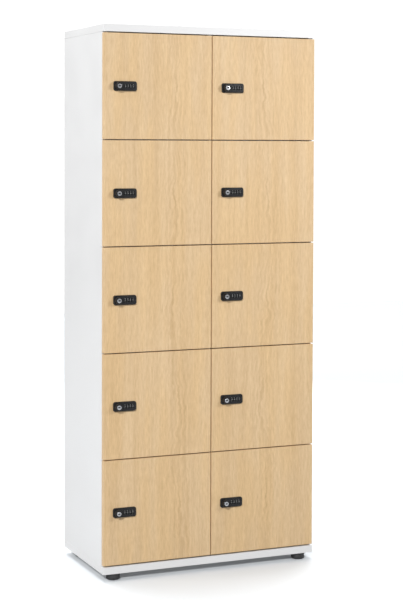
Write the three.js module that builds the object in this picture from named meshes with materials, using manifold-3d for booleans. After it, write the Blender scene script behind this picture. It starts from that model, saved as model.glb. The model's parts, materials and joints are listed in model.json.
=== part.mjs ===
// Locker cabinet with ten doors in two columns, each door with a combination cam lock.
// Millimetres, +Z up. The origin is on the floor under the middle of the whole object,
// and the doors face -Y. Rows are numbered from the top.

import * as THREE from "three";
import { mergeVertices } from "three/addons/utils/BufferGeometryUtils.js";
import Module from "manifold-3d";

const wasm = await Module();
wasm.setup();

// Cabinet
const WIDTH = 800;
const HEIGHT = 1900;
const DEPTH = 420; // door fronts to back
const END_PANEL = 25; // thickness of the top and bottom panels
const WALL = 18; // thickness of the sides, the partition and the shelves
const BACK_PANEL = 8;
const SEAM = 0.3; // joint line between neighbouring boards
const SHELF_SETBACK = 2;

// Doors
const ROWS = [1, 2, 3, 4, 5];
const DOOR = 18;
const DOOR_GAP = 4;
const TOP_GAP = 4; // top panel to the top doors
const BOTTOM_GAP = 5.5; // bottom doors to the bottom panel
const EDGE_REVEAL = 1; // cabinet side to door edge
const BUFFER_GAP = 1; // door back to cabinet front edge
const CUP_RADIUS = 17.5;
const CUP_DEPTH = 12.5;
const CUP_INSET = 22.5; // hinge edge to cup centre
const CUP_FROM_END = 100;

// Feet
const FOOT_HEIGHT = 23.5;
const FOOT_RADIUS = 25;
const FOOT_EDGE = 7; // radius of the rounded lower edge
const FOOT_SIDE_INSET = 45;
const FOOT_FRONT_INSET = 27;
const FOOT_BACK_INSET = 70;
const STEM_RADIUS = 5;
const STEM_LENGTH = 15;

// Lock. Across the door it is laid out from the plate's left end, and in depth from the door front.
const LOCK_INSET = 33.5; // door's left edge to the plate
const PLATE = { width: 83, height: 33, corner: 7, thickness: 7, wall: 1.2 };
const BODY = { width: 74, height: 24, corner: 3, behind: 24 };
const KNOB = { across: 15, radius: 12.5, chamfer: 1.2, projection: 24, gap: 0.4 };
const SPINDLE = { radius: 5.5, clearance: 0.4, end: 30.5 };
const DIAL = { first: 41.5, pitch: 9.5, width: 7, radius: 9.5, hub: 6, axis: 1.4, count: 4, digits: 10 };
const AXLE = { radius: 2.4, clearance: 0.3, seat: 3 };
const WINDOW = { width: 7.8, height: 13.2 };
const CAVITY = { side: 0.8, height: 20, behind: 11.9 };
const CAM = { start: 27, thickness: 2.5, width: 16, corner: 7, reach: 6.5 };
const POCKET = { depth: 7.5, clearance: 1.5, above: 10, below: 27 };

// Modelling
const MERGE = 1e-4; // vertices closer than this are one
const OVERCUT = 1; // how far a cutter runs past the face that it opens
const SIDES = { stem: 12, foot: 20, cup: 20, spindle: 16, axle: 10 }; // of round pieces and holes
const ARC_STEPS = { foot: 3, plate: 3, body: 2 }; // in a quarter turn

// Places that follow from these
const FRONT = (KNOB.projection - DEPTH) / 2; // plane of the door fronts
const BACK = FRONT + DEPTH;
const LEFT = -WIDTH / 2;
const RIGHT = WIDTH / 2;
const CARCASS_FRONT = FRONT + DOOR + BUFFER_GAP;
const INNER_BACK = BACK - BACK_PANEL;
const FLOOR_TOP = FOOT_HEIGHT + END_PANEL;
const CEILING = HEIGHT - END_PANEL;
const ROW_PITCH = (CEILING - FLOOR_TOP - TOP_GAP - BOTTOM_GAP + DOOR_GAP) / ROWS.length;
const DOOR_HEIGHT = ROW_PITCH - DOOR_GAP;
const DOOR_WIDTH = (WIDTH - 2 * EDGE_REVEAL - DOOR_GAP) / 2;

const COLUMNS = [
  { name: "left", doorLeft: LEFT + EDGE_REVEAL, inside: [LEFT + WALL, -WALL / 2] },
  { name: "right", doorLeft: DOOR_GAP / 2, inside: [WALL / 2, RIGHT - WALL] },
];

const melamine = material(0xeeefef, 0.45, 0);
const oak = material(0xd9b888, 0.55, 0);
const blackMetal = material(0x26272a, 0.4, 0.5);
const blackPlastic = material(0x1d1e20, 0.35, 0);
const rubber = material(0x2c2d2f, 0.7, 0);

const locker = new THREE.Group();

function material(color, roughness, metalness) {
  return new THREE.MeshStandardMaterial({ color, roughness, metalness });
}

// Solids -------------------------------------------------------------------------------------

function solid(geometry) {
  geometry.deleteAttribute("normal");
  geometry.deleteAttribute("uv");
  const merged = mergeVertices(geometry, MERGE);
  const triangles = [];
  for (let i = 0; i < merged.index.count; i += 3) {
    const corners = [0, 1, 2].map((k) => merged.index.getX(i + k));
    if (new Set(corners).size === 3) triangles.push(...corners);
  }
  const vertProperties = new Float32Array(merged.attributes.position.array);
  const triVerts = new Uint32Array(triangles);
  return new wasm.Manifold(new wasm.Mesh({ numProp: 3, vertProperties, triVerts }));
}

function add(name, shape, finish) {
  const { vertProperties, triVerts } = shape.getMesh();
  const geometry = new THREE.BufferGeometry();
  geometry.setAttribute("position", new THREE.BufferAttribute(vertProperties, 3));
  geometry.setIndex(new THREE.BufferAttribute(triVerts, 1));
  geometry.computeVertexNormals();
  const mesh = new THREE.Mesh(geometry, finish);
  mesh.name = name;
  locker.add(mesh);
}

function block([x0, x1], [y0, y1], [z0, z1]) {
  const geometry = new THREE.BoxGeometry(x1 - x0, y1 - y0, z1 - z0);
  geometry.translate((x0 + x1) / 2, (y0 + y1) / 2, (z0 + z1) / 2);
  return solid(geometry);
}

// A solid of revolution round a line along X, Y or Z. The profile runs as [radius, place along it].
function turned(profile, along, centre, segments) {
  const geometry = new THREE.LatheGeometry(profile.map(([r, h]) => new THREE.Vector2(r, h)), segments);
  if (along === "x") geometry.rotateZ(-Math.PI / 2);
  if (along === "z") geometry.rotateX(Math.PI / 2);
  geometry.translate(...centre);
  return solid(geometry);
}

function rod(radius, [start, end], along, centre, segments) {
  return turned([[0, start], [radius, start], [radius, end], [0, end]], along, centre, segments);
}

// An outline in the XZ plane, swept along Y.
function swept(outline, [y0, y1], curveSegments) {
  const options = { depth: y1 - y0, bevelEnabled: false, curveSegments };
  const geometry = new THREE.ExtrudeGeometry(outline, options);
  geometry.rotateX(Math.PI / 2);
  geometry.translate(0, y1, 0);
  return solid(geometry);
}

function roundedRectangle(centreX, centreZ, width, height, radius) {
  const [x, z] = [width / 2 - radius, height / 2 - radius];
  const outline = new THREE.Shape();
  outline.absarc(centreX + x, centreZ + z, radius, 0, Math.PI / 2);
  outline.absarc(centreX - x, centreZ + z, radius, Math.PI / 2, Math.PI);
  outline.absarc(centreX - x, centreZ - z, radius, Math.PI, Math.PI * 1.5);
  outline.absarc(centreX + x, centreZ - z, radius, Math.PI * 1.5, Math.PI * 2);
  outline.closePath();
  return outline;
}

// Places -------------------------------------------------------------------------------------

function doorTop(row) {
  return CEILING - TOP_GAP - (row - 1) * ROW_PITCH;
}

function lockHeight(row) {
  return doorTop(row) - DOOR_HEIGHT / 2;
}

function plateLeft(column) {
  return column.doorLeft + LOCK_INSET;
}

function knobAxis(column) {
  return plateLeft(column) + KNOB.across;
}

// Axis of the knob to the tip of its cam, which enters the board on the knob's left.
function camLength(column) {
  return knobAxis(column) - column.inside[0] + CAM.reach;
}

// Cabinet ------------------------------------------------------------------------------------

// Slots for the cams of one column, in the board on the left of that column.
function camPockets(column) {
  const face = column.inside[0];
  const camFront = FRONT + CAM.start;
  const depth = [camFront - POCKET.clearance, camFront + CAM.thickness + POCKET.clearance];
  return ROWS.map((row) => {
    const height = [lockHeight(row) - POCKET.below, lockHeight(row) + POCKET.above];
    return block([face - POCKET.depth, face + OVERCUT], depth, height);
  });
}

function footPlaces() {
  const y = { front: FRONT + FOOT_FRONT_INSET, back: BACK - FOOT_BACK_INSET };
  const x = { left: LEFT + FOOT_SIDE_INSET, right: RIGHT - FOOT_SIDE_INSET };
  return ["front", "back"].flatMap((end) =>
    ["left", "right"].map((side) => ({ name: `foot_${end}_${side}`, x: x[side], y: y[end] })),
  );
}

function addCabinet() {
  const upright = [FLOOR_TOP + SEAM, CEILING - SEAM];
  const [leftColumn, rightColumn] = COLUMNS;
  add("top_panel", block([LEFT, RIGHT], [FRONT, BACK], [CEILING, HEIGHT]), melamine);

  let bottom = block([LEFT, RIGHT], [FRONT, BACK], [FOOT_HEIGHT, FLOOR_TOP]);
  for (const foot of footPlaces()) {
    const hole = [FOOT_HEIGHT - OVERCUT, FOOT_HEIGHT + STEM_LENGTH + SEAM];
    bottom = bottom.subtract(rod(STEM_RADIUS + SEAM, hole, "z", [foot.x, foot.y, 0], SIDES.stem));
  }
  add("bottom_panel", bottom, melamine);

  let leftSide = block([LEFT, LEFT + WALL], [CARCASS_FRONT, BACK], upright);
  for (const pocket of camPockets(leftColumn)) leftSide = leftSide.subtract(pocket);
  add("left_side_panel", leftSide, melamine);
  add("right_side_panel", block([RIGHT - WALL, RIGHT], [CARCASS_FRONT, BACK], upright), melamine);

  let partition = block([-WALL / 2, WALL / 2], [CARCASS_FRONT, INNER_BACK - SEAM], upright);
  for (const pocket of camPockets(rightColumn)) partition = partition.subtract(pocket);
  add("centre_partition", partition, melamine);
  const betweenSides = [LEFT + WALL + SEAM, RIGHT - WALL - SEAM];
  add("back_panel", block(betweenSides, [INNER_BACK, BACK], upright), melamine);
}

// Fixed shelves, each behind the gap between two doors.
function addShelves(column) {
  const across = [column.inside[0] + SEAM, column.inside[1] - SEAM];
  const depth = [CARCASS_FRONT + SHELF_SETBACK, INNER_BACK - SEAM];
  for (const row of ROWS.slice(0, -1)) {
    const middle = doorTop(row + 1) + DOOR_GAP / 2;
    const shelf = block(across, depth, [middle - WALL / 2, middle + WALL / 2]);
    add(`shelf_${column.name}_${row}`, shelf, melamine);
  }
}

function addFeet() {
  const profile = [[0, 0]];
  for (let i = 0; i <= ARC_STEPS.foot; i += 1) {
    const angle = (i / ARC_STEPS.foot) * (Math.PI / 2);
    const radius = FOOT_RADIUS - FOOT_EDGE + FOOT_EDGE * Math.sin(angle);
    profile.push([radius, FOOT_EDGE * (1 - Math.cos(angle))]);
  }
  profile.push([FOOT_RADIUS, FOOT_HEIGHT - SEAM], [STEM_RADIUS, FOOT_HEIGHT - SEAM]);
  profile.push([STEM_RADIUS, FOOT_HEIGHT + STEM_LENGTH], [0, FOOT_HEIGHT + STEM_LENGTH]);
  for (const foot of footPlaces()) {
    add(foot.name, turned(profile, "z", [foot.x, foot.y, 0], SIDES.foot), rubber);
  }
}

// Doors and locks ----------------------------------------------------------------------------

function lockBody(column, row, clearance) {
  const centre = plateLeft(column) + PLATE.width / 2;
  const size = [BODY.width + 2 * clearance, BODY.height + 2 * clearance];
  return roundedRectangle(centre, lockHeight(row), ...size, BODY.corner + clearance);
}

function addDoor(column, row) {
  const right = column.doorLeft + DOOR_WIDTH;
  const [bottom, top] = [doorTop(row) - DOOR_HEIGHT, doorTop(row)];
  let door = block([column.doorLeft, right], [FRONT, FRONT + DOOR], [bottom, top]);
  const through = [FRONT - OVERCUT, FRONT + DOOR + OVERCUT];
  door = door.subtract(swept(lockBody(column, row, SEAM), through, ARC_STEPS.body));
  for (const height of [bottom + CUP_FROM_END, top - CUP_FROM_END]) {
    const cup = [FRONT + DOOR - CUP_DEPTH, FRONT + DOOR + OVERCUT];
    door = door.subtract(rod(CUP_RADIUS, cup, "y", [right - CUP_INSET, 0, height], SIDES.cup));
  }
  add(`door_${column.name}_${row}`, door, oak);
}

// Front plate and body in one casting, hollow behind the dial windows, with the spindle's bore.
function addLockHousing(column, row) {
  const [x, z] = [plateLeft(column), lockHeight(row)];
  const { width, height, corner, thickness, wall } = PLATE;
  const face = FRONT - thickness;
  const plate = roundedRectangle(x + width / 2, z, width, height, corner);
  const body = swept(lockBody(column, row, 0), [face + thickness / 2, FRONT + BODY.behind], ARC_STEPS.body);
  let housing = swept(plate, [face, FRONT - SEAM], ARC_STEPS.plate).add(body);

  const firstEdge = x + DIAL.first - DIAL.width / 2;
  const lastEdge = firstEdge + (DIAL.count - 1) * DIAL.pitch + DIAL.width;
  const across = [firstEdge - CAVITY.side, lastEdge + CAVITY.side];
  const upright = [z - CAVITY.height / 2, z + CAVITY.height / 2];
  housing = housing.subtract(block(across, [face + wall, FRONT + CAVITY.behind], upright));
  for (let i = 0; i < DIAL.count; i += 1) {
    const middle = x + DIAL.first + i * DIAL.pitch;
    const window = [middle - WINDOW.width / 2, middle + WINDOW.width / 2];
    const opening = [z - WINDOW.height / 2, z + WINDOW.height / 2];
    housing = housing.subtract(block(window, [face - OVERCUT, face + wall + OVERCUT], opening));
  }
  const seats = [across[0] - AXLE.seat, across[1] + AXLE.seat];
  const axle = [0, FRONT + DIAL.axis, z];
  housing = housing.subtract(rod(AXLE.radius + AXLE.clearance, seats, "x", axle, SIDES.axle));
  const bore = [face - OVERCUT, FRONT + BODY.behind + OVERCUT];
  const spindle = [knobAxis(column), 0, z];
  const spindleHole = rod(SPINDLE.radius + SPINDLE.clearance, bore, "y", spindle, SIDES.spindle);
  add(`lock_housing_${column.name}_${row}`, housing.subtract(spindleHole), blackMetal);
}

// Knob, spindle and cam turn as one. At rest the cam hangs down, which is unlocked.
function addLockKnob(column, row) {
  const z = lockHeight(row);
  const [back, face] = [FRONT - PLATE.thickness - KNOB.gap, FRONT - KNOB.projection];
  const { radius, chamfer } = KNOB;
  const profile = [[0, face], [radius - chamfer, face], [radius, face + chamfer], [radius, back]];
  profile.push([SPINDLE.radius, back], [SPINDLE.radius, FRONT + SPINDLE.end], [0, FRONT + SPINDLE.end]);
  const knob = turned(profile, "y", [knobAxis(column), 0, z], SIDES.spindle);

  const above = CAM.width / 2;
  const below = camLength(column);
  const middle = z + (above - below) / 2;
  const outline = roundedRectangle(knobAxis(column), middle, CAM.width, above + below, CAM.corner);
  const cam = swept(outline, [FRONT + CAM.start, FRONT + CAM.start + CAM.thickness], ARC_STEPS.plate);
  add(`lock_knob_${column.name}_${row}`, knob.add(cam), blackMetal);
}

// Four ten-sided dials on one axle.
function addLockDials(column, row) {
  const first = plateLeft(column) + DIAL.first - DIAL.width / 2;
  const last = first + (DIAL.count - 1) * DIAL.pitch + DIAL.width;
  const overhang = CAVITY.side + AXLE.seat - AXLE.clearance;
  const profile = [[0, first - overhang], [AXLE.radius, first - overhang], [AXLE.radius, first]];
  for (let i = 0; i < DIAL.count; i += 1) {
    const start = first + i * DIAL.pitch;
    const end = start + DIAL.width;
    if (i > 0) profile.push([DIAL.hub, start]);
    profile.push([DIAL.radius, start], [DIAL.radius, end]);
    if (i < DIAL.count - 1) profile.push([DIAL.hub, end]);
  }
  profile.push([AXLE.radius, last], [AXLE.radius, last + overhang], [0, last + overhang]);
  const centre = [0, FRONT + DIAL.axis, lockHeight(row)];
  add(`lock_dials_${column.name}_${row}`, turned(profile, "x", centre, DIAL.digits), blackPlastic);
}

addCabinet();
addFeet();
for (const column of COLUMNS) {
  addShelves(column);
  for (const row of ROWS) {
    addDoor(column, row);
    addLockHousing(column, row);
    addLockKnob(column, row);
    addLockDials(column, row);
  }
}

export default locker;
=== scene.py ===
"""The looks of a ten-door locker cabinet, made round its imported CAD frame.

Everything is in metres in the row frame: +Z up, and the doors face -Y. Places come from the frame's
boxes and joints, and the sizes of what CAD doesn't hold are named values in millimetres.
"""
import json
import math

import bmesh
import bpy
from mathutils import Matrix, Vector


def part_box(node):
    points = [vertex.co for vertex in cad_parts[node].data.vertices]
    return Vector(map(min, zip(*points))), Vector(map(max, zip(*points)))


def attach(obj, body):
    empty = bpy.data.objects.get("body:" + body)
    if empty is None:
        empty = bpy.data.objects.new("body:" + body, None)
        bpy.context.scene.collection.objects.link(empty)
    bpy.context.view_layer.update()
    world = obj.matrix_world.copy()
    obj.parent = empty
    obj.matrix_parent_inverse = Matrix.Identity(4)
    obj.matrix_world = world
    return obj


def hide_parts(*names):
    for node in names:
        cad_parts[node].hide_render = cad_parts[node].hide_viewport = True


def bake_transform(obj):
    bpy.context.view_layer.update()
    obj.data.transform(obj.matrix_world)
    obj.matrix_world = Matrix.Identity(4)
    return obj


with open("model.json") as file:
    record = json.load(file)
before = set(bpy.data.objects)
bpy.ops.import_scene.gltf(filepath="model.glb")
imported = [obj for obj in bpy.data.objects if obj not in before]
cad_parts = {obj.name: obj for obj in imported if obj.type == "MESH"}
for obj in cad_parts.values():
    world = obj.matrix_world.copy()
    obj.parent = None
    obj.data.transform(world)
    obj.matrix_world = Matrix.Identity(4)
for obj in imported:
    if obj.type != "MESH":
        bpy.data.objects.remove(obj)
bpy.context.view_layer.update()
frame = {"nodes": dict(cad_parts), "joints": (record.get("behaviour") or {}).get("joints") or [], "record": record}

MM = 0.001
UP = Vector((0, 0, 1))
scene = bpy.context.scene
joints = {joint["name"]: joint for joint in frame["joints"]}
DOORS = sorted(name for name in frame["nodes"] if name.startswith("door_"))
BOARDS = sorted(frame["nodes"][name].name for name in frame["record"]["behaviour"]["bodies"]["root"])
FEET = [name for name in BOARDS if name.startswith("foot_")]
COLUMNS = ("left", "right")


# Stage: camera, floor and lights ---------------------------------------------------------------

VIEW_FROM = Vector((-2.1927, -5.1822, 1.4843))
VIEW_YAW, VIEW_PITCH, VIEW_ROLL = (math.radians(angle) for angle in (23.368, -1.754, 0.176))
SENSOR_MM, LENS_MM = 36, 93.756
LENS_SHIFT = -0.175
WHITE = (1, 1, 1, 1)
FLOOR_HALF = 8
FLOOR_COLOUR = (0.755, 0.785, 0.815, 1)


def make_camera():
    """A long lens a little to the left of the cabinet, turned by yaw, then pitch, then roll."""
    data = bpy.data.cameras.new("camera")
    data.sensor_width = SENSOR_MM
    data.lens = LENS_MM
    data.shift_y = LENS_SHIFT
    camera = bpy.data.objects.new("camera", data)
    scene.collection.objects.link(camera)
    level = Vector((math.cos(VIEW_YAW), -math.sin(VIEW_YAW), 0))
    ahead = Vector((math.sin(VIEW_YAW), math.cos(VIEW_YAW), 0))
    forward = ahead * math.cos(VIEW_PITCH) + UP * math.sin(VIEW_PITCH)
    upright = level.cross(forward)
    right = level * math.cos(VIEW_ROLL) + upright * math.sin(VIEW_ROLL)
    top = upright * math.cos(VIEW_ROLL) - level * math.sin(VIEW_ROLL)
    turn = Matrix((right, top, -forward)).transposed().to_4x4()
    camera.matrix_world = Matrix.Translation(VIEW_FROM) @ turn
    scene.camera = camera


def make_world(light, seen):
    """An even white room, which lights the object with one strength and is seen with another."""
    world = bpy.data.worlds.new("studio")
    scene.world = world
    world.use_nodes = True
    tree = world.node_tree
    lighting = tree.nodes["Background"]
    lighting.inputs["Strength"].default_value = light
    lighting.inputs["Color"].default_value = WHITE
    showing = tree.nodes.new("ShaderNodeBackground")
    showing.inputs["Strength"].default_value = seen
    showing.inputs["Color"].default_value = WHITE
    path = tree.nodes.new("ShaderNodeLightPath")
    mix = tree.nodes.new("ShaderNodeMixShader")
    tree.links.new(path.outputs["Is Camera Ray"], mix.inputs[0])
    tree.links.new(lighting.outputs[0], mix.inputs[1])
    tree.links.new(showing.outputs[0], mix.inputs[2])
    tree.links.new(mix.outputs[0], tree.nodes["World Output"].inputs["Surface"])


def sun(name, travel, strength, spread):
    """A distant light whose rays run along travel. Spread is how wide it is, in degrees."""
    data = bpy.data.lights.new(name, "SUN")
    data.energy = strength
    data.angle = math.radians(spread)
    light = bpy.data.objects.new(name, data)
    scene.collection.objects.link(light)
    light.rotation_mode = "QUATERNION"
    light.rotation_quaternion = Vector(travel).to_track_quat("-Z", "Y")


def panel_light(name, place, target, size, watts):
    """A square lamp at a place, facing its target, that the camera doesn't see."""
    data = bpy.data.lights.new(name, "AREA")
    data.energy = watts
    data.size = size
    light = bpy.data.objects.new(name, data)
    scene.collection.objects.link(light)
    light.location = place
    light.visible_camera = False
    light.rotation_mode = "QUATERNION"
    light.rotation_quaternion = (Vector(target) - Vector(place)).to_track_quat("-Z", "Y")


def make_floor():
    """A pale matt floor that throws no diffuse light back up at the cabinet."""
    bm = bmesh.new()
    bmesh.ops.create_grid(bm, x_segments=1, y_segments=1, size=FLOOR_HALF)
    mesh = bpy.data.meshes.new("floor")
    bm.to_mesh(mesh)
    bm.free()
    floor = bpy.data.objects.new("floor", mesh)
    scene.collection.objects.link(floor)
    material = bpy.data.materials.new("floor_paper")
    material.use_nodes = True
    shader = material.node_tree.nodes["Principled BSDF"]
    shader.inputs["Base Color"].default_value = FLOOR_COLOUR
    shader.inputs["Roughness"].default_value = 0.9
    shader.inputs["Specular IOR Level"].default_value = 0.0
    mesh.materials.append(material)
    floor.visible_diffuse = False


def make_stage():
    """Camera, room, floor and lights: lamps in front and beside, and suns that whiten the floor."""
    scene.view_settings.view_transform = "Standard"
    make_camera()
    make_world(light=0.205, seen=1.1)
    make_floor()
    panel_light("key", place=(1.63, -2.4, 2.0), target=(0, -0.2, 1.2), size=0.4, watts=27)
    panel_light("fill", place=(-6.0, -8.4, 6.0), target=(0, -0.2, 1.0), size=0.8, watts=805)
    panel_light("side", place=(-4.0, 0.2, 3.0), target=(-0.4, 0, 1.2), size=1.6, watts=80)
    panel_light("side_right", place=(3.0, 3.0, 1.3), target=(0.3, 0.1, 1.0), size=1.6, watts=60)
    panel_light("low", place=(-1.2, -2.2, 0.2), target=(-0.2, -0.2, 0.3), size=1.0, watts=8.5)
    sun("overhead", travel=(0, -0.1, -1), strength=0.7, spread=20)
    sun("behind", travel=(0, -0.4, -1), strength=1.9, spread=40)
    sun("behind_right", travel=(-0.5, -0.8, -1), strength=1.15, spread=60)


# Materials -------------------------------------------------------------------------------------


class Shading:
    """A material's node tree, with a short call for each kind of node used here."""

    def __init__(self, name, colour, roughness, metallic=0.0):
        self.material = bpy.data.materials.new(name)
        self.material.use_nodes = True
        self.tree = self.material.node_tree
        self.shader = self.tree.nodes["Principled BSDF"]
        self.shader.inputs["Base Color"].default_value = (*colour, 1)
        self.shader.inputs["Roughness"].default_value = roughness
        self.shader.inputs["Metallic"].default_value = metallic
        self.place = self.tree.nodes.new("ShaderNodeTexCoord").outputs["Object"]

    def feed(self, socket, value):
        """Links a socket to another one, or sets it to a plain value."""
        if isinstance(value, bpy.types.NodeSocket):
            self.tree.links.new(value, socket)
        else:
            socket.default_value = value

    def maths(self, operation, a, b=0.0, c=0.0):
        """One arithmetic step on values or sockets."""
        node = self.tree.nodes.new("ShaderNodeMath")
        node.operation = operation
        for socket, value in zip(node.inputs, (a, b, c)):
            self.feed(socket, value)
        return node.outputs[0]

    def parts(self, vector):
        """The X, Y and Z sockets of a vector."""
        node = self.tree.nodes.new("ShaderNodeSeparateXYZ")
        self.feed(node.inputs[0], vector)
        return node.outputs

    def point(self, x, y, z):
        """A vector made of three values."""
        node = self.tree.nodes.new("ShaderNodeCombineXYZ")
        for socket, value in zip(node.inputs, (x, y, z)):
            self.feed(socket, value)
        return node.outputs[0]

    def noise(self, place, scale=1.0, detail=2.0, roughness=0.5):
        """Soft noise from 0 to 1, with about scale marks in each unit of its place."""
        node = self.tree.nodes.new("ShaderNodeTexNoise")
        self.feed(node.inputs["Vector"], place)
        node.inputs["Scale"].default_value = scale
        node.inputs["Detail"].default_value = detail
        node.inputs["Roughness"].default_value = roughness
        return node.outputs["Fac"]

    def ramp(self, value, low, high, start=0.0, end=1.0):
        """Value from low to high becomes start to end, with soft ends."""
        node = self.tree.nodes.new("ShaderNodeMapRange")
        node.interpolation_type = "SMOOTHSTEP"
        for socket, amount in zip(node.inputs, (value, low, high, start, end)):
            self.feed(socket, amount)
        return node.outputs[0]

    def blend(self, share, first, second):
        """A colour between two, the second where the share is 1."""
        node = self.tree.nodes.new("ShaderNodeMix")
        node.data_type = "RGBA"
        self.feed(node.inputs["Factor"], share)
        for socket, colour in zip((node.inputs["A"], node.inputs["B"]), (first, second)):
            self.feed(socket, colour if isinstance(colour, bpy.types.NodeSocket) else (*colour, 1))
        return node.outputs["Result"]

    def either(self, share, first, second):
        """A value between two, the second where the share is 1."""
        node = self.tree.nodes.new("ShaderNodeMix")
        self.feed(node.inputs["Factor"], share)
        self.feed(node.inputs["A"], first)
        self.feed(node.inputs["B"], second)
        return node.outputs["Result"]

    def colour(self, value):
        self.feed(self.shader.inputs["Base Color"], value)

    def rough(self, value):
        self.feed(self.shader.inputs["Roughness"], value)

    def bump(self, height, depth, strength):
        """Relief whose full height stands for a depth in metres."""
        node = self.tree.nodes.new("ShaderNodeBump")
        node.inputs["Strength"].default_value = strength
        node.inputs["Distance"].default_value = depth
        self.feed(node.inputs["Height"], height)
        self.feed(self.shader.inputs["Normal"], node.outputs[0])


def melamine_material():
    """Satin white board: a fine pearl texture and a trace of unevenness in its gloss."""
    look = Shading("white_melamine", (0.83, 0.832, 0.835), 0.42)
    pearl = look.noise(look.place, scale=1400, detail=3)
    cloud = look.noise(look.place, scale=9, detail=2)
    look.colour(look.blend(cloud, (0.822, 0.824, 0.827), (0.842, 0.844, 0.846)))
    look.rough(look.ramp(cloud, 0.3, 0.7, 0.38, 0.48))
    look.bump(pearl, depth=0.03 * MM, strength=0.6)
    return look.material


PALE_OAK, WARM_OAK = (0.882, 0.665, 0.412), (0.890, 0.645, 0.362)
DARK_OAK, OAK_PORE = (0.542, 0.345, 0.162), (0.36, 0.23, 0.115)
OAK_TONE = 0.42  # the share of dark wood where no mark darkens it
PORE_SHARE = 0.34
FIGURE_MIDDLE = {"left": -0.133, "right": 0.205}  # X of the ragged flat-sawn figure in each column
FIGURE_DRIFT, FIGURE_JAG = 0.16, 0.03  # how far its middle wanders, slowly and raggedly, in metres
RING_WIDTH, RING_LEAN = 0.016, 0.045


def oak_material():
    """Light oak veneer with the grain upright: growth rings cut flat, fibres and open pores."""
    look = Shading("oak", PALE_OAK, 0.5)
    x, y, z = look.parts(look.place)
    normal = look.parts(look.tree.nodes.new("ShaderNodeNewGeometry").outputs["Normal"])
    on_end = look.maths("GREATER_THAN", look.maths("ABSOLUTE", normal["Z"]), 0.7)
    inward = look.maths("SUBTRACT", y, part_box(DOORS[0])[0].y)
    across = look.either(on_end, look.maths("ADD", x, inward), look.maths("ADD", inward, z))
    along = look.either(on_end, z, x)

    def streaks(wide, tall, detail, roughness=0.5):
        """Noise round 0, drawn out along the grain, with marks of about 1 / wide by 1 / tall metres."""
        place = look.point(look.maths("MULTIPLY", across, wide), 0.0, look.maths("MULTIPLY", along, tall))
        return look.maths("SUBTRACT", look.noise(place, detail=detail, roughness=roughness), 0.5)

    rings = look.maths("MULTIPLY", oak_rings(look, across, along, x), 0.3)
    bands = look.maths("MULTIPLY", streaks(26.0, 0.9, 2), 0.45)
    stripes = look.maths("MULTIPLY", streaks(85.0, 5.0, 2), 0.42)
    flecks = look.maths("MULTIPLY", streaks(200.0, 34.0, 3, 0.6), 0.75)
    fibres = streaks(700.0, 22.0, 3, 0.65)
    tone = OAK_TONE
    for share in (rings, bands, stripes, flecks, look.maths("MULTIPLY", fibres, 0.5)):
        tone = look.maths("ADD", tone, share)

    pores = look.ramp(streaks(1150.0, 60.0, 2, 0.6), 0.07, 0.2)
    pores = look.maths("MULTIPLY", pores, look.ramp(rings, 0.0, 0.3, 0.5, 1.0))
    light_wood = look.blend(look.ramp(streaks(15.0, 2.2, 2), -0.14, 0.14), PALE_OAK, WARM_OAK)
    wood = look.blend(tone, light_wood, DARK_OAK)
    look.colour(look.blend(look.maths("MULTIPLY", pores, PORE_SHARE), wood, OAK_PORE))
    look.rough(look.ramp(fibres, -0.2, 0.2, 0.46, 0.58))
    height = look.maths("MULTIPLY_ADD", pores, -0.8, look.maths("MULTIPLY", fibres, 0.35))
    look.bump(height, depth=0.06 * MM, strength=0.55)
    return look.material


def oak_rings(look, across, along, x):
    """Growth rings cut flat: strong and ragged round a wandering middle, faint and upright beside it."""
    right_column = look.maths("GREATER_THAN", x, 0.0)
    middle = look.either(right_column, FIGURE_MIDDLE["left"], FIGURE_MIDDLE["right"])
    drift = look.noise(look.point(right_column, 3.0, along), scale=3.2, detail=4, roughness=0.55)
    drift = look.maths("MULTIPLY_ADD", drift, FIGURE_DRIFT, -FIGURE_DRIFT / 2)
    jag = look.point(look.maths("MULTIPLY", across, 40.0), 0.0, look.maths("MULTIPLY", along, 20.0))
    jag = look.noise(jag, detail=3, roughness=0.6)
    jag = look.maths("MULTIPLY_ADD", jag, FIGURE_JAG, -FIGURE_JAG / 2)
    aside = look.maths("SUBTRACT", look.maths("SUBTRACT", across, middle), look.maths("ADD", drift, jag))
    from_middle = look.maths("ABSOLUTE", aside)
    depth = look.maths("MULTIPLY_ADD", along, RING_LEAN, from_middle)
    ring = look.maths("FRACT", look.maths("DIVIDE", depth, RING_WIDTH))
    late = look.maths("MULTIPLY", look.ramp(ring, 0.1, 0.8), look.ramp(ring, 0.85, 1.0, 1.0, 0.0))
    faded = look.maths("MULTIPLY", late, look.ramp(from_middle, 0.0, 0.06, 0.5, 0.14))
    return look.maths("MULTIPLY_ADD", look.ramp(from_middle, 0.0005, 0.006, 1.0, 0.0), 0.4, faded)


def painted_material():
    """Satin black paint on die-cast metal, with a fine orange peel."""
    look = Shading("lock_black", (0.011, 0.011, 0.012), 0.45)
    look.shader.inputs["Specular IOR Level"].default_value = 0.25
    peel = look.noise(look.place, scale=1100, detail=2)
    patch = look.noise(look.place, scale=140, detail=2)
    look.colour(look.blend(patch, (0.009, 0.009, 0.0098), (0.013, 0.013, 0.014)))
    look.rough(look.ramp(patch, 0.3, 0.7, 0.4, 0.52))
    look.bump(peel, depth=0.05 * MM, strength=0.35)
    return look.material


def dial_material():
    """Semi-gloss black plastic, for the dials."""
    look = Shading("dial_black", (0.009, 0.009, 0.0095), 0.4)
    look.shader.inputs["Specular IOR Level"].default_value = 0.25
    grain = look.noise(look.place, scale=1800, detail=2)
    look.rough(look.ramp(grain, 0.3, 0.7, 0.34, 0.46))
    look.bump(grain, depth=0.02 * MM, strength=0.3)
    return look.material


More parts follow.
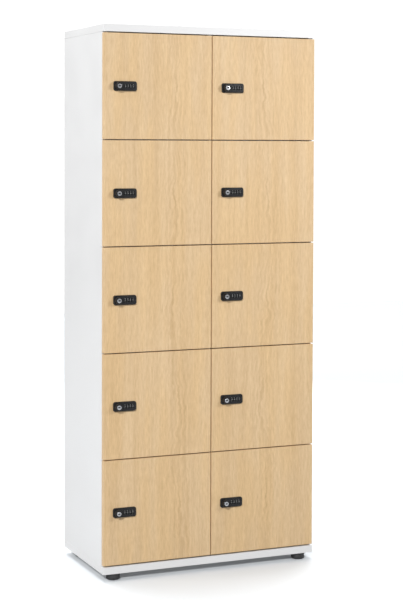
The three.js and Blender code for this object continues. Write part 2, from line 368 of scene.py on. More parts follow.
def digit_material():
    """Matt white print with a little unevenness in its ink."""
    look = Shading("digit_white", (0.38, 0.38, 0.37), 0.6)
    ink = look.noise(look.place, scale=2500, detail=1)
    look.colour(look.blend(ink, (0.34, 0.34, 0.33), (0.43, 0.43, 0.42)))
    return look.material


def turned_steel_material():
    """Satin nickel with turning marks round the piece's own Y axis."""
    look = Shading("lock_steel", (0.38, 0.38, 0.39), 0.3, metallic=1.0)
    x, _, z = look.parts(look.place)
    squares = (look.maths("MULTIPLY", value, value) for value in (x, z))
    radius = look.maths("SQRT", look.maths("ADD", *squares))
    marks = look.noise(look.point(look.maths("MULTIPLY", radius, 5200.0), 0.0, 0.0), detail=3)
    look.colour(look.blend(marks, (0.3, 0.3, 0.31), (0.46, 0.46, 0.47)))
    look.rough(look.ramp(marks, 0.3, 0.7, 0.24, 0.42))
    look.bump(marks, depth=0.02 * MM, strength=0.4)
    return look.material


def pressed_steel_material():
    """Nickel-plated sheet, as on hinges and cams: bright, with faint level rolling streaks."""
    look = Shading("hinge_steel", (0.6, 0.6, 0.61), 0.26, metallic=1.0)
    marks_per_metre = (600.0, 600.0, 5000.0)
    axes = zip(look.parts(look.place), marks_per_metre)
    drawn_out = look.point(*(look.maths("MULTIPLY", value, marks) for value, marks in axes))
    streak = look.noise(drawn_out, detail=2)
    look.colour(look.blend(streak, (0.56, 0.56, 0.57), (0.64, 0.64, 0.65)))
    look.rough(look.ramp(streak, 0.3, 0.7, 0.24, 0.32))
    return look.material


def key_core_material():
    """Dark metal of the shutter over the keyway."""
    look = Shading("key_core", (0.03, 0.03, 0.032), 0.35, metallic=0.6)
    grain = look.noise(look.place, scale=3000, detail=2)
    look.rough(look.ramp(grain, 0.3, 0.7, 0.28, 0.45))
    return look.material


def foot_material():
    """Moulded black plastic with a matt, slightly sparkled skin."""
    look = Shading("foot_plastic", (0.028, 0.028, 0.03), 0.6)
    skin = look.noise(look.place, scale=900, detail=3)
    look.colour(look.blend(skin, (0.022, 0.022, 0.024), (0.038, 0.038, 0.04)))
    look.rough(look.ramp(skin, 0.3, 0.7, 0.5, 0.68))
    look.bump(skin, depth=0.08 * MM, strength=0.5)
    return look.material


def buffer_material():
    """Clear soft buffer, cloudy like polyurethane."""
    look = Shading("buffer_clear", (0.55, 0.55, 0.53), 0.25)
    cloud = look.noise(look.place, scale=700, detail=2)
    look.colour(look.blend(cloud, (0.5, 0.5, 0.48), (0.62, 0.62, 0.6)))
    return look.material


# Mesh forms ------------------------------------------------------------------------------------


MERGE_DISTANCE = 1e-7
EDGE_STEPS = 4
SMALLEST_CORNER = 0.05 * MM


def make_sound(bm):
    """Joins points that coincide and turns every face outward."""
    bmesh.ops.remove_doubles(bm, verts=bm.verts, dist=MERGE_DISTANCE)
    bmesh.ops.recalc_face_normals(bm, faces=bm.faces)


def finished(name, bm, materials, smooth_below=35):
    """Turns a bmesh into a mesh that is smooth where its faces meet at less than smooth_below degrees."""
    make_sound(bm)
    mesh = bpy.data.meshes.new(name)
    bm.to_mesh(mesh)
    bm.free()
    for material in materials:
        mesh.materials.append(material)
    mesh.shade_smooth()
    mesh.set_sharp_from_angle(angle=math.radians(smooth_below))
    return mesh


def loft(bm, loops):
    """Skins a row of closed loops, each a list of points, and caps both ends."""
    rows = [[bm.verts.new(point) for point in loop] for loop in loops]
    for near, far in zip(rows, rows[1:]):
        for i in range(len(near)):
            j = (i + 1) % len(near)
            bm.faces.new((near[i], near[j], far[j], far[i]))
    bm.faces.new(rows[0][::-1])
    bm.faces.new(rows[-1])


def on_axis(axis, centre, a, b, along):
    """The point at a and b across an axis and along it, counted from a centre."""
    point = {"x": (along, a, b), "y": (a, along, b), "z": (a, b, along)}[axis]
    return Vector(centre) + Vector(point)


def turned(bm, profile, steps=48, axis="y", centre=(0, 0, 0), flutes=0, flute_depth=0.0):
    """Revolves a profile of (radius, place along the axis) that starts and ends on the axis.
    A third value of 1 in a profile point puts flutes round that point's circle."""
    loops = []
    for radius, along, *fluted in profile:
        if radius == 0:
            continue
        loop = []
        for i in range(steps):
            angle = 2 * math.pi * i / steps
            r = radius
            if fluted:
                r -= flute_depth * (0.5 - 0.5 * math.cos(flutes * angle)) ** 2
            loop.append(on_axis(axis, centre, r * math.cos(angle), r * math.sin(angle), along))
        loops.append(loop)
    loft(bm, loops)


def fluted_round(edge, start, radius, steps):
    """Profile points of a quarter round, out from an end face to its fluted edge."""
    points = []
    for i in range(1, steps + 1):
        angle = math.pi / 2 * i / steps
        points.append((edge - radius * (1 - math.sin(angle)), start + radius * (1 - math.cos(angle)), 1))
    return points


def plain_round(radius, start, end, steps, centre=(0, 0, 0)):
    """A plain cylinder along Y, to cut with."""
    bm = bmesh.new()
    turned(bm, [(0, start), (radius, start), (radius, end), (0, end)], steps, centre=centre)
    return bm


def rounded_outline(width, height, radius, steps=6):
    """Points of a rounded rectangle round the origin, as (across, up) pairs."""
    points = []
    for quarter, (sx, sz) in enumerate(((1, 1), (-1, 1), (-1, -1), (1, -1))):
        for i in range(steps + 1):
            angle = math.pi / 2 * (quarter + i / steps)
            across = sx * (width / 2 - radius) + radius * math.cos(angle)
            up = sz * (height / 2 - radius) + radius * math.sin(angle)
            points.append((across, up))
    return points


def rounded_plate(bm, width, height, radius, front, back, edge=0.0, centre=(0, 0), steps=6, axis="y"):
    """A rounded slab across an axis, with a quarter-round edge of that radius on its front face."""
    layers = [(back, 0.0)]
    sign = 1 if back > front else -1
    rounds = EDGE_STEPS if edge else 0
    for i in range(rounds + 1):
        angle = math.pi / 2 * (i / rounds if rounds else 1)
        inset = edge * (1 - math.cos(angle))
        layers.append((front + sign * edge * (1 - math.sin(angle)), inset))
    loops = []
    for along, inset in layers:
        corner = max(radius - inset, SMALLEST_CORNER)
        outline = rounded_outline(width - 2 * inset, height - 2 * inset, corner, steps)
        loops.append([on_axis(axis, (0, 0, 0), centre[0] + a, centre[1] + b, along) for a, b in outline])
    loft(bm, loops)


def box(bm, low, high):
    """A plain block, to cut with."""
    corners = [(low[0], low[1]), (high[0], low[1]), (high[0], high[1]), (low[0], high[1])]
    loft(bm, [[Vector((x, y, z)) for x, y in corners] for z in (low[2], high[2])])


def scratch_piece(bm):
    """An object round a bmesh, for the time that forms are combined."""
    make_sound(bm)
    mesh = bpy.data.meshes.new("scratch")
    bm.to_mesh(mesh)
    bm.free()
    piece = bpy.data.objects.new("scratch", mesh)
    scene.collection.objects.link(piece)
    return piece


def combined(base, tools, operation):
    """Cuts tool forms out of a base form, or joins them to it, each a bmesh of one closed form."""
    body = scratch_piece(base)
    for tool in tools:
        cutter = scratch_piece(tool)
        modifier = body.modifiers.new("combine", "BOOLEAN")
        modifier.operation = operation
        modifier.solver = "EXACT"
        modifier.object = cutter
        depsgraph = bpy.context.evaluated_depsgraph_get()
        mesh = bpy.data.meshes.new_from_object(body.evaluated_get(depsgraph))
        body.modifiers.clear()
        body.data = mesh
        bpy.data.objects.remove(cutter)
    bm = bmesh.new()
    bm.from_mesh(body.data)
    bpy.data.objects.remove(body)
    return bm


def add_form(bm, other, shift=(0, 0, 0), material=0):
    """Adds another bmesh to this one, moved by shift and in one material, and frees it."""
    bmesh.ops.translate(other, verts=other.verts, vec=shift)
    for face in other.faces:
        face.material_index = material
    mesh = bpy.data.meshes.new("form")
    other.to_mesh(mesh)
    other.free()
    bm.from_mesh(mesh)
    bpy.data.meshes.remove(mesh)


def place(name, mesh, body, slot, at=(0, 0, 0), turn=None):
    """Puts a piece where it belongs and lets it ride on its body."""
    piece = bpy.data.objects.new(name, mesh)
    scene.collection.objects.link(piece)
    piece.matrix_world = Matrix.Translation(at) @ (turn or Matrix.Identity(4))
    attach(piece, body)
    return piece


# Cabinet ---------------------------------------------------------------------------------------

JOINT_LINE = 0.3 * MM  # the gap that CAD keeps between neighbours
WELD_DISTANCE = 0.01 * MM
EDGE_ROUND, EDGE_ABOVE_DEGREES = 0.6 * MM, 40
FOOT_RIBS, FOOT_RIB_DEPTH, FOOT_RIB_INSET, FOOT_RIB_TOP = 36, 0.5 * MM, 1 * MM, 15 * MM
FOOT_BASE_ROUND = 7 * MM
FOOT_GROOVE_INSET, FOOT_GROOVE_START, FOOT_GROOVE_END = 1.6 * MM, 16 * MM, 17 * MM
FOOT_COLLAR_START, FOOT_COLLAR_EDGE = 18 * MM, 0.6 * MM


def dress(node, material):
    """Gives a CAD board its finish, and the slightly rounded edges that banded boards have."""
    board = frame["nodes"][node]
    board.data.materials.clear()
    board.data.materials.append(material)
    weld = board.modifiers.new("weld", "WELD")
    weld.merge_threshold = WELD_DISTANCE
    bevel = board.modifiers.new("edges", "BEVEL")
    bevel.width = EDGE_ROUND
    bevel.segments = 3
    bevel.limit_method = "ANGLE"
    bevel.angle_limit = math.radians(EDGE_ABOVE_DEGREES)


def make_cabinet(melamine, oak):
    """The CAD boards stay as they are and get their looks: white round the compartments, oak doors."""
    for node in BOARDS:
        if node not in FEET:
            dress(node, melamine)
    for node in DOORS:
        dress(node, oak)


def make_feet(plastic):
    """Moulded feet: a collar under the board, a groove, ribs to turn the foot by, and a rounded base."""
    low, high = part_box(FEET[0])
    radius = (high.x - low.x) / 2
    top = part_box("bottom_panel")[0].z - JOINT_LINE
    ribs, groove, edge = radius - FOOT_RIB_INSET, radius - FOOT_GROOVE_INSET, FOOT_COLLAR_EDGE
    profile = [(0, 0), (ribs - FOOT_BASE_ROUND, 0), *fluted_round(ribs, 0, FOOT_BASE_ROUND, 6)]
    profile += [(ribs, FOOT_RIB_TOP, 1), (groove, FOOT_GROOVE_START), (groove, FOOT_GROOVE_END)]
    profile += [(radius - 0.4 * MM, FOOT_COLLAR_START - edge), (radius, FOOT_COLLAR_START)]
    profile += [(radius, top - edge), (radius - edge, top), (0, top)]
    bm = bmesh.new()
    turned(bm, profile, steps=4 * FOOT_RIBS, axis="z", flutes=FOOT_RIBS, flute_depth=FOOT_RIB_DEPTH)
    mesh = finished("foot", bm, [plastic])
    for node in FEET:
        low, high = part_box(node)
        middle = ((low.x + high.x) / 2, (low.y + high.y) / 2, 0)
        foot = place(f"{node}_moulding", mesh, "root", "foot_plastic", middle)
        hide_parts(node)


# Locks -----------------------------------------------------------------------------------------

PLATE_CORNER, PLATE_EDGE, PLATE_WALL = 7 * MM, 2 * MM, 1.2 * MM
BODY_WIDTH, BODY_HEIGHT, BODY_CORNER = 74 * MM, 24 * MM, 3 * MM
DIAL_COUNT, DIAL_DIGITS = 4, 10
DIAL_WIDTH, DIAL_PITCH, DIAL_RADIUS = 7 * MM, 9.5 * MM, 9.5 * MM
DIAL_RIM_DROP, DIAL_RIM_WIDTH = 0.7 * MM, 0.5 * MM
DIAL_SHY = 0.1 * MM  # how far the dial stays inside its radius, where its knurls reach
DIAL_FLAT = DIAL_RADIUS * math.cos(math.pi / DIAL_DIGITS) - DIAL_SHY  # from the axis to a flat
DIGIT_HEIGHT, DIGIT_PROUD = 4.6 * MM, 0.03 * MM
KNURL_WIDTH, KNURL_SUNK, KNURL_PROUD, KNURL_SLOPE = 1.1 * MM, 0.15 * MM, 0.18 * MM, 0.15 * MM
KNURL_FOOT, KNURL_CREST = 0.42 * MM, 0.2 * MM  # half as long round the dial at the bottom and the top
KNURLS_TO_A_DIGIT = 3
AXLE_RADIUS, AXLE_CHAMFER = 2.4 * MM, 0.3 * MM
WINDOW_WIDTH, WINDOW_HEIGHT, WINDOW_CORNER = 7.8 * MM, 13.2 * MM, 1.4 * MM
LEAD_IN = 0.5 * MM
CAVITY_SIDE, CAVITY_DEEPER, CAVITY_HEIGHT = 0.8 * MM, 1 * MM, 20 * MM
KNOB_RADIUS, KNOB_ROUND, KNOB_LIP = 12.5 * MM, 2 * MM, 0.4 * MM
KNOB_NECK, KNOB_SKIRT, KNOB_CHAMFER, KNOB_LIFT = 0.2 * MM, 2.4 * MM, 0.6 * MM, 0.1 * MM
FLUTES, FLUTE_DEPTH = 24, 0.9 * MM
SEAT_PLAY, SEAT_DEPTH = 0.5 * MM, 0.4 * MM
SPINDLE_RADIUS, SPINDLE_PLAY = 5.5 * MM, 0.4 * MM
CORE_RADIUS, CORE_THICKNESS, CORE_SEAT = 7.8 * MM, 1.2 * MM, 0.8 * MM
CORE_PROUD, CORE_PLAY = 0.3 * MM, 0.1 * MM
SHUTTER_WIDTH, SHUTTER_HEIGHT, SHUTTER_CORNER = 8.6 * MM, 4.6 * MM, 1.9 * MM
SHUTTER_SINK, SHUTTER_EDGE = 0.6 * MM, 0.2 * MM
KEYWAY_WIDTH, KEYWAY_HEIGHT = 6.2 * MM, 1.2 * MM
CAM_WIDTH, CAM_THICKNESS, CAM_BACK = 16 * MM, 2.5 * MM, 29.5 * MM
CAM_CORNER, CAM_EDGE = 7.4 * MM, 0.5 * MM
WASHER_RADIUS, WASHER_THICKNESS = 5.9 * MM, 0.6 * MM
HEXAGON_RADIUS, HEXAGON_HEIGHT = 4.6 * MM, 3.4 * MM
CROSS_ARM, CROSS_THIN, CROSS_DEPTH = 0.52, 0.13, 0.6  # of a screw head's radius, radius and height
BACK_SCREW_RADIUS, BACK_SCREW_HEIGHT = 3.2 * MM, 1.8 * MM
BACK_SCREW_PLACES = ((3 * MM, -7.5 * MM), (24 * MM, 7.5 * MM))
THROUGH = 40 * MM  # reaches past both faces of a lock


class LockPlan:
    """Where things are on one lock: across from the plate's middle, in depth from the door's face."""

    def __init__(self, name):
        low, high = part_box(f"lock_housing_{name}")
        self.middle = Vector(((low.x + high.x) / 2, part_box(f"door_{name}")[0].y, (low.z + high.z) / 2))
        self.width, self.height = high.x - low.x, high.z - low.z
        self.face, self.back = low.y - self.middle.y, high.y - self.middle.y
        knob_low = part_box(f"lock_knob_{name}")[0]
        self.axis = Vector((joints[f"lock_knob_{name}_turn"]["pos_m"][0], self.middle.y, self.middle.z))
        self.knob_x = self.axis.x - self.middle.x
        self.knob_face = knob_low.y - self.middle.y
        self.cam_length = self.middle.z - knob_low.z
        self.dials = Vector(joints[f"lock_dials_{name}_turn"]["pos_m"])
        self.dial_y = self.dials.y - self.middle.y
        self.dial_offsets = [(i - (DIAL_COUNT - 1) / 2) * DIAL_PITCH for i in range(DIAL_COUNT)]
        self.dial_xs = [self.dials.x - self.middle.x + offset for offset in self.dial_offsets]


def lock_housing_mesh(plan, black):
    """Plate and body in one casting, with its origin in the middle of the plate on the door's face."""
    plate, body = bmesh.new(), bmesh.new()
    size = (plan.width, plan.height, PLATE_CORNER)
    rounded_plate(plate, *size, plan.face, -JOINT_LINE, PLATE_EDGE, steps=10)
    rounded_plate(body, BODY_WIDTH, BODY_HEIGHT, BODY_CORNER, plan.face / 2, plan.back, steps=4)
    solid = combined(plate, [body], "UNION")
    cutters = [dial_cavity(plan)]
    for x in plan.dial_xs:
        cutters += [dial_window(x, plan.face), lead_in(x, plan.face)]
    knob = (plan.knob_x, 0, 0)
    cutters.append(plain_round(SPINDLE_RADIUS + SPINDLE_PLAY, -THROUGH, THROUGH, 40, knob))
    cutters.append(plain_round(KNOB_RADIUS + SEAT_PLAY, -THROUGH, plan.face + SEAT_DEPTH, 64, knob))
    return finished("lock_housing", combined(solid, cutters, "DIFFERENCE"), [black], smooth_below=30)


def dial_cavity(plan):
    """The hollow behind the plate that the dials turn in, as a cutter."""
    side, tall = DIAL_WIDTH / 2 + CAVITY_SIDE, CAVITY_HEIGHT / 2
    deep = plan.dial_y + DIAL_RADIUS + CAVITY_DEEPER
    cutter = bmesh.new()
    low = (plan.dial_xs[0] - side, plan.face + PLATE_WALL, -tall)
    box(cutter, low, (plan.dial_xs[-1] + side, deep, tall))
    return cutter


def dial_window(x, face):
    """The opening over one dial, as a cutter that reaches through the plate."""
    over, under = face - 2 * MM, face + 3 * MM
    cutter = bmesh.new()
    rounded_plate(cutter, WINDOW_WIDTH, WINDOW_HEIGHT, WINDOW_CORNER, over, under, centre=(x, 0), steps=4)
    return cutter


def lead_in(x, face):
    """The chamfer round a dial window, as a cutter."""
    wider = 2.6 * LEAD_IN
    outer = rounded_outline(WINDOW_WIDTH + wider, WINDOW_HEIGHT + wider, WINDOW_CORNER + LEAD_IN, 4)
    inner = rounded_outline(WINDOW_WIDTH, WINDOW_HEIGHT, WINDOW_CORNER, 4)
    front = [Vector((x + a, face - 0.3 * LEAD_IN, b)) for a, b in outer]
    cutter = bmesh.new()
    loft(cutter, [front, [Vector((x + a, face + LEAD_IN, b)) for a, b in inner]])
    return cutter


def lock_knob_mesh(plan, black):
    """Turned and fluted grip with its spindle. Its origin is on its axis, at the door's face."""
    r, core, neck = KNOB_RADIUS, CORE_RADIUS, KNOB_RADIUS - KNOB_NECK
    face, foot = plan.knob_face + CORE_PROUD, plan.face + KNOB_LIFT
    skirt, end = foot - KNOB_SKIRT, CAM_BACK - CAM_THICKNESS
    profile = [(0, face + CORE_SEAT), (core, face + CORE_SEAT), (core, face + KNOB_LIP / 2)]
    profile += [(core + KNOB_LIP, face), (r - KNOB_ROUND, face), *fluted_round(r, face, KNOB_ROUND, 5)]
    profile += [(r, skirt - 1 * MM, 1), (neck, skirt), (neck, foot - KNOB_CHAMFER)]
    profile += [(neck - KNOB_CHAMFER, foot), (SPINDLE_RADIUS, foot), (SPINDLE_RADIUS, end), (0, end)]
    bm = bmesh.new()
    turned(bm, profile, steps=6 * FLUTES, flutes=FLUTES, flute_depth=FLUTE_DEPTH)
    return finished("lock_knob", bm, [black], smooth_below=40)


def lock_core_mesh(plan, steel, dark):
    """The silver face of the key cylinder, and the dark shutter with its keyway across the middle."""
    face, back, r = plan.knob_face, plan.knob_face + CORE_THICKNESS, CORE_RADIUS - CORE_PLAY
    profile = [(0, face), (r - 1.4 * MM, face), (r - 0.5 * MM, face + 0.1 * MM)]
    profile += [(r - 0.1 * MM, face + 0.4 * MM), (r, face + 0.8 * MM), (r, back), (0, back)]
    disc, opening, shutter, keyway = (bmesh.new() for _ in range(4))
    turned(disc, profile, 72)
    rounded_plate(opening, SHUTTER_WIDTH, SHUTTER_HEIGHT, SHUTTER_CORNER, face - MM, back + MM)
    bm = combined(disc, [opening], "DIFFERENCE")
    size = (SHUTTER_WIDTH - CORE_PLAY, SHUTTER_HEIGHT - CORE_PLAY, SHUTTER_CORNER - CORE_PLAY / 2)
    rounded_plate(shutter, *size, face + SHUTTER_SINK, back, SHUTTER_EDGE)
    wide, tall = KEYWAY_WIDTH / 2, KEYWAY_HEIGHT / 2
    box(keyway, (-wide, face, -tall), (wide, back - 0.1 * MM, tall))
    add_form(bm, combined(shutter, [keyway], "DIFFERENCE"), material=1)
    return finished("lock_core", bm, [steel, dark], smooth_below=30)


def lock_cam_mesh(length, steel):
    """Flat cam, held on the spindle by a washer and a hexagon screw. It hangs down from its axis."""
    start, under, over = CAM_BACK - CAM_THICKNESS, CAM_BACK, CAM_BACK + WASHER_THICKNESS
    above = CAM_WIDTH / 2
    centre = (0, (above - length) / 2)
    bm = bmesh.new()
    rounded_plate(bm, CAM_WIDTH, above + length, CAM_CORNER, under, start, CAM_EDGE, centre, steps=8)
    r, bulge = WASHER_RADIUS, WASHER_THICKNESS / 2
    turned(bm, [(0, under), (r - bulge, under), (r, under + bulge), (r - bulge, over), (0, over)], 36)
    r, top = HEXAGON_RADIUS, over + HEXAGON_HEIGHT
    turned(bm, [(0, over), (r, over), (r, top - 0.4 * MM), (r - 0.6 * MM, top), (0, top)], 6)
    return finished("lock_cam", bm, [steel], smooth_below=30)


def digit_outlines():
    """Each digit as a filled flat mesh one unit tall, from Blender's own plain font."""
    shapes = []
    for digit in range(DIAL_DIGITS):
        text = bpy.data.curves.new("digit", "FONT")
        text.body = str(digit)
        text.resolution_u = 3
        holder = bpy.data.objects.new("digit", text)
        scene.collection.objects.link(holder)
        depsgraph = bpy.context.evaluated_depsgraph_get()
        mesh = bpy.data.meshes.new_from_object(holder.evaluated_get(depsgraph))
        bpy.data.objects.remove(holder)
        xs = [v.co.x for v in mesh.vertices]
        ys = [v.co.y for v in mesh.vertices]
        tall = max(ys) - min(ys)
        centre = Vector(((max(xs) + min(xs)) / 2, (max(ys) + min(ys)) / 2, 0))
        mesh.transform(Matrix.Scale(1 / tall, 4) @ Matrix.Translation(-centre))
        shapes.append(mesh)
    return shapes


def dial_mesh(black, white):
    """One ten-sided dial round its own X axis, with knurled shoulders and a digit on each flat."""
    bm = bmesh.new()
    dial_ring(bm)
    knurls = DIAL_DIGITS * KNURLS_TO_A_DIGIT
    for side in (-1, 1):
        for i in range(knurls):
            x = side * (DIAL_WIDTH / 2 - KNURL_WIDTH / 2 - DIAL_SHY)
            knurl(bm, x, 2 * math.pi * (i + 0.5) / knurls)
    upright = Matrix.Rotation(math.pi / 2, 4, "X") @ Matrix.Scale(DIGIT_HEIGHT, 4)
    lift = Matrix.Translation((0, -DIAL_FLAT - DIGIT_PROUD, 0))
    for digit, shape in enumerate(digit_outlines()):
        turn = Matrix.Rotation(2 * math.pi * digit / DIAL_DIGITS, 4, "X")
        shape.transform(turn @ lift @ upright)
        before = len(bm.faces)
        bm.from_mesh(shape)
        bm.faces.ensure_lookup_table()
        for face in bm.faces[before:]:
            face.material_index = 1
        bpy.data.meshes.remove(shape)
    mesh = bpy.data.meshes.new("dial")
    bm.to_mesh(mesh)
    bm.free()
    for material in (black, white):
        mesh.materials.append(material)
    return mesh


def dial_ring(bm):
    """The dial's ten-sided body, bored for the axle. Its first flat faces -Y."""
    half, outer = DIAL_WIDTH / 2, DIAL_RADIUS - DIAL_SHY
    rim, inward = outer - DIAL_RIM_DROP, half - DIAL_RIM_WIDTH
    profile = [(AXLE_RADIUS, -half), (rim, -half), (outer, -inward)]
    profile += [(outer, inward), (rim, half), (AXLE_RADIUS, half)]
    columns = []
    for i in range(DIAL_DIGITS):
        angle = 2 * math.pi * (i + 0.5) / DIAL_DIGITS - math.pi / 2
        across, up = math.sin(angle), math.cos(angle)
        columns.append([bm.verts.new((along, r * across, r * up)) for r, along in profile])
    for i in range(DIAL_DIGITS):
        near, far = columns[i], columns[(i + 1) % DIAL_DIGITS]
        for k in range(len(profile)):
            m = (k + 1) % len(profile)
            bm.faces.new((near[k], near[m], far[m], far[k]))


def knurl(bm, x, angle):
    """A small raised grip rib on a dial's shoulder, at an angle round from the first flat."""
    sector = 2 * math.pi / DIAL_DIGITS
    from_flat = (angle + sector / 2) % sector - sector / 2
    surface = DIAL_FLAT / math.cos(from_flat)
    out = Vector((0, -math.cos(angle), math.sin(angle)))
    side = Vector((0, math.sin(angle), math.cos(angle)))
    half = KNURL_WIDTH / 2
    foot = (surface - KNURL_SUNK, half, KNURL_FOOT)
    crest = (min(surface + KNURL_PROUD, DIAL_RADIUS), half - KNURL_SLOPE, KNURL_CREST)
    loops = []
    for radius, wide, long in (foot, crest):
        corners = ((-wide, -long), (wide, -long), (wide, long), (-wide, long))
        loops.append([out * radius + Vector((x + a, 0, 0)) + side * b for a, b in corners])
    loft(bm, loops)


def axle_mesh(length, steel):
    """The dials' axle along X, with chamfered ends."""
    half, r = length / 2, AXLE_RADIUS
    profile = [(0, -half), (r - AXLE_CHAMFER, -half), (r, -half + AXLE_CHAMFER)]
    profile += [(r, half - AXLE_CHAMFER), (r - AXLE_CHAMFER, half), (0, half)]
    bm = bmesh.new()
    turned(bm, profile, 24, axis="x")
    return finished("dial_axle", bm, [steel])


def screw_form(bm, centre, radius, height, axis="y", sign=1):
    """A pan head with a cross recess. It stands out of a face by its height, to the sign's side."""
    top = sign * height
    profile = [(0, 0), (radius, 0), (radius, top * 0.45), (radius * 0.82, top * 0.85)]
    head = bmesh.new()
    turned(head, profile + [(radius * 0.5, top), (0, top)], 28, axis)
    arm, thin = radius * CROSS_ARM, radius * CROSS_THIN
    near, far = sorted((sign * (height + MM), top * (1 - CROSS_DEPTH)))
    cutters = []
    for a, b in ((arm, thin), (thin, arm)):
        cutter = bmesh.new()
        box(cutter, on_axis(axis, (0, 0, 0), -a, -b, near), on_axis(axis, (0, 0, 0), a, b, far))
        cutters.append(cutter)
    add_form(bm, combined(head, cutters, "DIFFERENCE"), centre)


def back_screws_mesh(plan, steel):
    """The two screws that hold the lock from behind, on the body's back face."""
    bm = bmesh.new()
    for x, z in BACK_SCREW_PLACES:
        screw_form(bm, Vector((x, plan.back, z)), BACK_SCREW_RADIUS, BACK_SCREW_HEIGHT)
    return finished("lock_screws", bm, [steel], smooth_below=30)


def make_locks(black, steel, dark, dial_black, white, sheet_steel):
    """One set of meshes, and a lock of them on each door. Only the cam's length differs by column."""
    first = DOORS[0].removeprefix("door_")
    plan = LockPlan(first)
    axle_low, axle_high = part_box(f"lock_dials_{first}")
    housing = lock_housing_mesh(plan, black)
    knob = lock_knob_mesh(plan, black)
    core = lock_core_mesh(plan, steel, dark)
    cams = {column: lock_cam_mesh(LockPlan(f"{column}_1").cam_length, sheet_steel) for column in COLUMNS}
    dial = dial_mesh(dial_black, white)
    axle = axle_mesh(axle_high.x - axle_low.x, sheet_steel)
    screws = back_screws_mesh(plan, sheet_steel)
    for door in DOORS:
        name = door.removeprefix("door_")
        plan = LockPlan(name)
        piece = place(f"lock_{name}_housing", housing, door, "lock_black", plan.middle)
        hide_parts(f"lock_housing_{name}")
        place(f"lock_{name}_screws", screws, door, "hinge_steel", plan.middle)

        turning = f"lock_knob_{name}"
        piece = place(f"lock_{name}_grip", knob, turning, "lock_black", plan.axis)
        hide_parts(turning)
        place(f"lock_{name}_core", core, turning, "lock_steel", plan.axis)
        place(f"lock_{name}_cam", cams[name.split("_")[0]], turning, "hinge_steel", plan.axis)

        wheels = f"lock_dials_{name}"
        piece = place(f"lock_{name}_axle", axle, wheels, "hinge_steel", plan.dials)
        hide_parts(wheels)
        for i, offset in enumerate(plan.dial_offsets):
            middle = plan.dials + Vector((offset, 0, 0))
            place(f"lock_{name}_dial_{i + 1}", dial, wheels, "dial_black", middle)


# Hinges ----------------------------------------------------------------------------------------

CUP_INSET, CUP_FROM_END = 22.5 * MM, 100 * MM
CUP_RADIUS, CUP_DEPTH, CUP_WALL, CUP_RIM = 17.2 * MM, 11.5 * MM, 0.8 * MM, 1.2 * MM
CUP_CORNER, CUP_SCREWS = 1.5 * MM, 22.5 * MM
CUP_SCREW_RADIUS, CUP_SCREW_HEIGHT, CUP_SCREW_SEAT = 3.6 * MM, 0.75 * MM, 0.2 * MM
FLANGE, FLANGE_WIDTH, FLANGE_CORNER, FLANGE_EDGE = 0.8 * MM, 15 * MM, 6 * MM, 0.25 * MM
FLANGE_SHIFT = -6 * MM
WING, WING_WIDTH, WING_CORNER, WING_EDGE = 2 * MM, 26 * MM, 5 * MM, 0.4 * MM  # the mounting plate
WING_MIDDLE, WING_SCREWS, WING_PAST_SCREWS = 61 * MM, 16 * MM, 6.5 * MM
WING_SCREW_RADIUS, WING_SCREW_HEIGHT = 4.2 * MM, 2.2 * MM
ARM_WIDTH, ARM_HEIGHT, ARM_CORNER = 11.5 * MM, 19 * MM, 1.6 * MM
ARM_START, ARM_END = 22 * MM, 84 * MM
ARM_SCREWS, ARM_SCREW_RADIUS, ARM_SCREW_HEIGHT = (52 * MM, 72 * MM), 3.4 * MM, 1.4 * MM
LINK_THICKNESS, LINK_CORNER = 3.2 * MM, 1.2 * MM
LINK_HEIGHT_AT_ARM, LINK_HEIGHT_AT_CUP = 13 * MM, 10 * MM
LINK_STEPS = 28
NOSE = (-8 * MM, ARM_START + 3 * MM)  # the link's end in the arm, from the board and the door's face
PIN = (5 * MM, -7 * MM)  # the link's end in the cup, from the cup's centre


def hinge_cup_mesh(steel):
    """Pressed cup and screwed flange. The origin is the cup's centre on the door's back face."""
    r, bottom, inner = CUP_RADIUS, -CUP_DEPTH, CUP_RADIUS - CUP_WALL
    profile = [(0, bottom), (r - CUP_CORNER, bottom), (r, bottom + CUP_CORNER), (r, 0)]
    profile += [(r + CUP_RIM, 0), (r + CUP_RIM, FLANGE), (inner, FLANGE), (inner, bottom + 2 * MM)]
    profile += [(r - 2 * MM, bottom + CUP_WALL), (0, bottom + CUP_WALL)]
    bm, flange = bmesh.new(), bmesh.new()
    turned(bm, profile, 56)
    height = 2 * (CUP_SCREWS + FLANGE_CORNER)
    centre = (FLANGE_SHIFT, 0)
    rounded_plate(flange, FLANGE_WIDTH, height, FLANGE_CORNER, FLANGE, 0, FLANGE_EDGE, centre)
    hole = plain_round(r - CUP_WALL / 2, -5 * MM, 5 * MM, 56)
    add_form(bm, combined(flange, [hole], "DIFFERENCE"))
    for side in (-1, 1):
        seat = Vector((FLANGE_SHIFT, CUP_SCREW_SEAT, side * CUP_SCREWS))
        screw_form(bm, seat, CUP_SCREW_RADIUS, CUP_SCREW_HEIGHT)
    return finished("hinge_cup", bm, [steel], smooth_below=30)


def hinge_arm_mesh(steel):
    """Mounting plate and arm. The origin is on the board's face, level with the door's front face
    and with the cup's centre, and the piece lies on the -X side of that face."""
    bm = bmesh.new()
    height = 2 * (WING_SCREWS + WING_PAST_SCREWS)
    centre = (WING_MIDDLE, 0)
    rounded_plate(bm, WING_WIDTH, height, WING_CORNER, -WING, 0, WING_EDGE, centre, axis="x")
    hinge_arm(bm)
    for side in (-1, 1):
        seat = Vector((-WING, WING_MIDDLE, side * WING_SCREWS))
        screw_form(bm, seat, WING_SCREW_RADIUS, WING_SCREW_HEIGHT, axis="x", sign=-1)
    for y in ARM_SCREWS:
        seat = Vector((-ARM_WIDTH + 0.3 * MM, y, 0))
        screw_form(bm, seat, ARM_SCREW_RADIUS, ARM_SCREW_HEIGHT, axis="x", sign=-1)
    return finished("hinge_arm", bm, [steel], smooth_below=30)


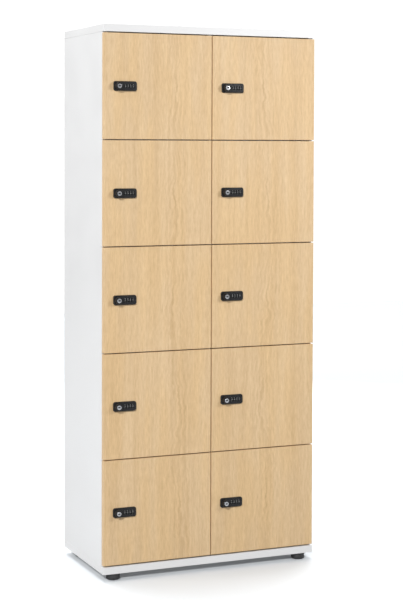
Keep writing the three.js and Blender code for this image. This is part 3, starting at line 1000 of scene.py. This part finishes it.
def hinge_arm(bm):
    """The arm along Y: low and lifted off the plate at its nose, full in the middle, thinner at its end.
    Each section has its place, its share of the full height and thickness, and its lift."""
    sections = (
        (ARM_START, 0.62, 0.55, 3 * MM),
        (ARM_START + 5 * MM, 0.7, 0.75, 2 * MM),
        (ARM_START + 13 * MM, 0.8, 0.95, 0),
        (ARM_END - 16 * MM, 1, 1, 0),
        (ARM_END - 5 * MM, 0.95, 0.98, 0),
        (ARM_END, 0.6, 0.9, 0),
    )
    loops = []
    for y, tall, thick, lift in sections:
        width = (ARM_WIDTH - WING) * thick
        centre = -WING - lift - width / 2
        outline = rounded_outline(width, ARM_HEIGHT * tall, ARM_CORNER, 3)
        loops.append([Vector((centre + a, y, b)) for a, b in outline])
    loft(bm, loops)


def hinge_link(name, start, end, steel):
    """The crank between arm and cup, fixed where it lies at rest."""
    along = (end - start).normalized()
    across = Vector((along.y, -along.x, 0))
    loops = []
    for i in range(LINK_STEPS + 1):
        share = i / LINK_STEPS
        middle = start.lerp(end, share)
        tall = LINK_HEIGHT_AT_ARM + (LINK_HEIGHT_AT_CUP - LINK_HEIGHT_AT_ARM) * share
        outline = rounded_outline(LINK_THICKNESS, tall, LINK_CORNER, 3)
        loops.append([middle + across * a + UP * b for a, b in outline])
    bm = bmesh.new()
    loft(bm, loops)
    piece = bpy.data.objects.new(name, finished(name, bm, [steel], smooth_below=30))
    scene.collection.objects.link(piece)
    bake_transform(piece)


def make_hinges(steel):
    """Two hinges on each door: the cup rides on the door, the arm stays, and the link joins them."""
    cup, arm = hinge_cup_mesh(steel), hinge_arm_mesh(steel)
    mounting_faces = {"left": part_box("centre_partition")[0].x, "right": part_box("right_side_panel")[0].x}
    for door in DOORS:
        name = door.removeprefix("door_")
        low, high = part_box(door)
        face = mounting_faces[name.split("_")[0]]
        for end, height in (("upper", high.z - CUP_FROM_END), ("lower", low.z + CUP_FROM_END)):
            centre = Vector((high.x - CUP_INSET, high.y, height))
            place(f"hinge_{name}_{end}_cup", cup, door, "hinge_steel", centre)
            place(f"hinge_{name}_{end}_arm", arm, "root", "hinge_steel", Vector((face, low.y, height)))
            nose = Vector((face + NOSE[0], low.y + NOSE[1], height))
            pin = centre + Vector((*PIN, 0))
            hinge_link(f"hinge_{name}_{end}_link", nose, pin, steel)


# Buffers ---------------------------------------------------------------------------------------

BUFFER_INSET, BUFFER_FROM_END = 9 * MM, 14 * MM
BUFFER_PROFILE = [(0, 0), (4 * MM, 0), (3.8 * MM, 0.45 * MM), (2.8 * MM, 0.8 * MM), (0, 0.9 * MM)]


def make_buffers(clear):
    """Two soft buffers on the back of each door, at its lock side."""
    low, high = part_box(DOORS[0])
    bm = bmesh.new()
    for height in (BUFFER_FROM_END, high.z - low.z - BUFFER_FROM_END):
        turned(bm, BUFFER_PROFILE, 24, centre=(BUFFER_INSET, 0, height))
    mesh = finished("door_buffers", bm, [clear])
    for door in DOORS:
        low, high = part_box(door)
        place(f"{door}_buffers", mesh, door, "buffer_clear", (low.x, high.y, low.z))


make_stage()
make_cabinet(melamine_material(), oak_material())
make_feet(foot_material())
sheet_steel = pressed_steel_material()
metals = (painted_material(), turned_steel_material(), key_core_material())
make_locks(*metals, dial_material(), digit_material(), sheet_steel)
make_hinges(sheet_steel)
make_buffers(buffer_material())
